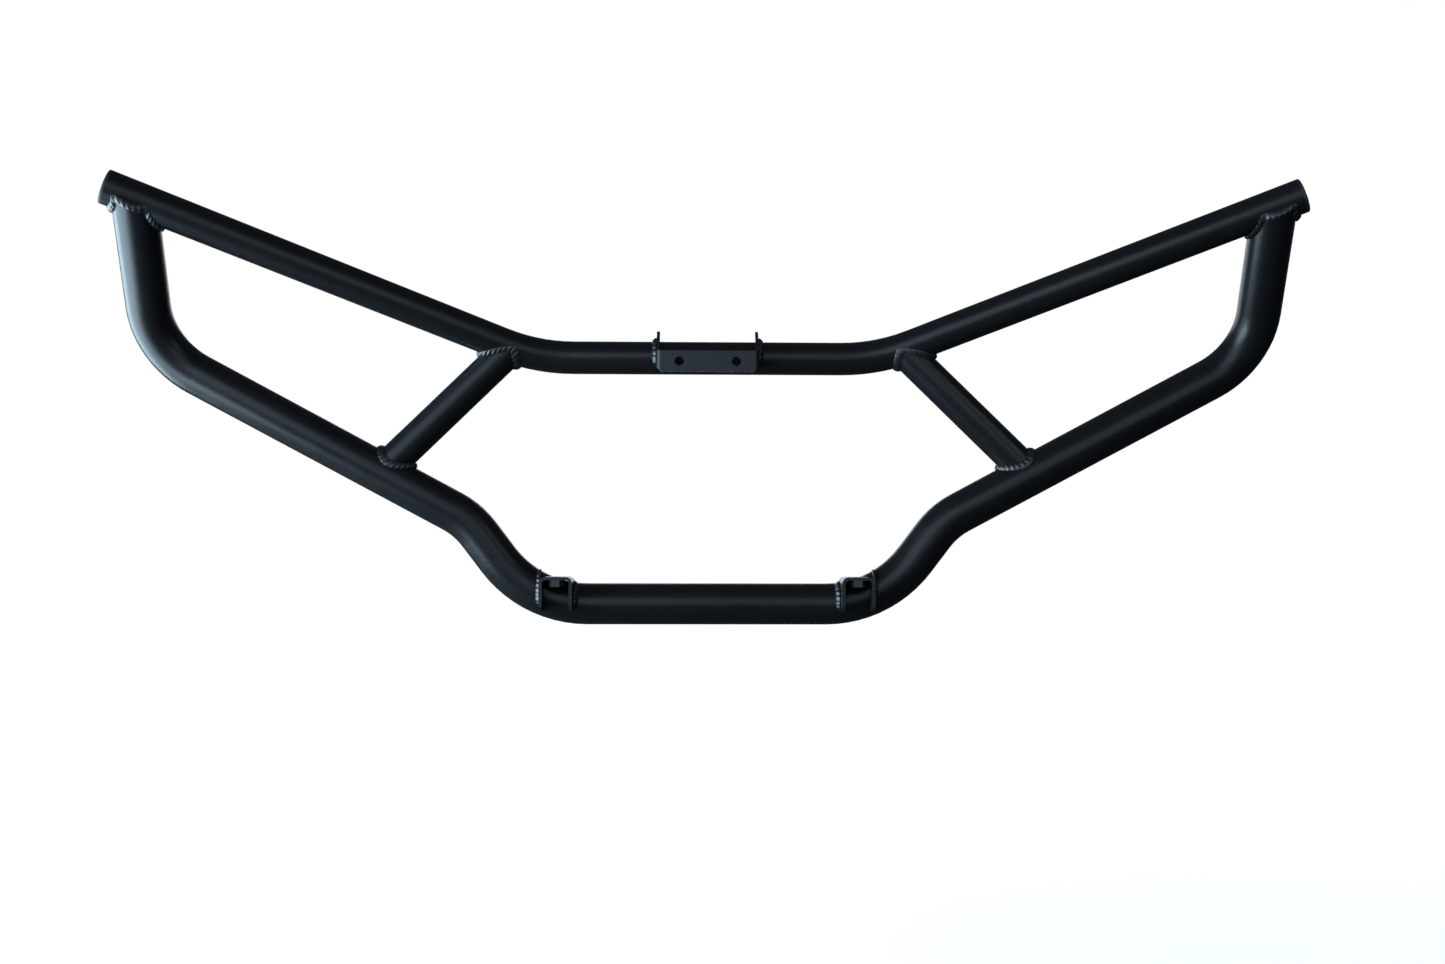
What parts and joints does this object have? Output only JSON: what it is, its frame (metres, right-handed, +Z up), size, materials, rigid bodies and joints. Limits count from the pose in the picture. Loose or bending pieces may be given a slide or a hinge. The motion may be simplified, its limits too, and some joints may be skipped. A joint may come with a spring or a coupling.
{
  "type": "atv front bumper",
  "caption": "Tubular steel front bumper for an all-terrain vehicle: swept upper tube, bent lower hoop, diagonal braces, bolt-on mounting brackets.",
  "frame": {"origin": "midway between the two bolt holes of the top bracket, on the rear face of its plate", "axes": "+Y forward, away from the vehicle; +X to the right; +Z up, as the bumper is fitted"},
  "size_m": [1.0966, 0.1567, 0.4111],
  "materials": {
    "tube": "satin black powder coat over round steel tube",
    "bracket_plate": "satin black powder coat over bent steel plate",
    "weld_bead": "rippled weld beads under the same black powder coat, a little glossier",
    "weld_nut": "black powder coat over a hexagonal weld nut",
    "end_cap": "moulded black plastic, fine matte"
  },
  "bodies": {
    "root": {"upper_tube": "tube", "lower_hoop": "tube", "brace_left": "tube", "brace_right": "tube", "end_cap_left": "end_cap", "end_cap_right": "end_cap", "top_bracket": "bracket_plate", "lower_bracket_left": "bracket_plate", "lower_bracket_right": "bracket_plate", "weld_nut_left": "weld_nut", "weld_nut_right": "weld_nut", "weld_tip_left": "weld_bead", "weld_tip_right": "weld_bead", "weld_brace_top_left": "weld_bead", "weld_brace_top_right": "weld_bead", "weld_brace_foot_left": "weld_bead", "weld_brace_foot_right": "weld_bead", "weld_flange_left": "weld_bead", "weld_flange_right": "weld_bead", "weld_cheek_left_outer": "weld_bead", "weld_cheek_left_inner": "weld_bead", "weld_cheek_right_inner": "weld_bead", "weld_cheek_right_outer": "weld_bead"}
  },
  "joints": []
}
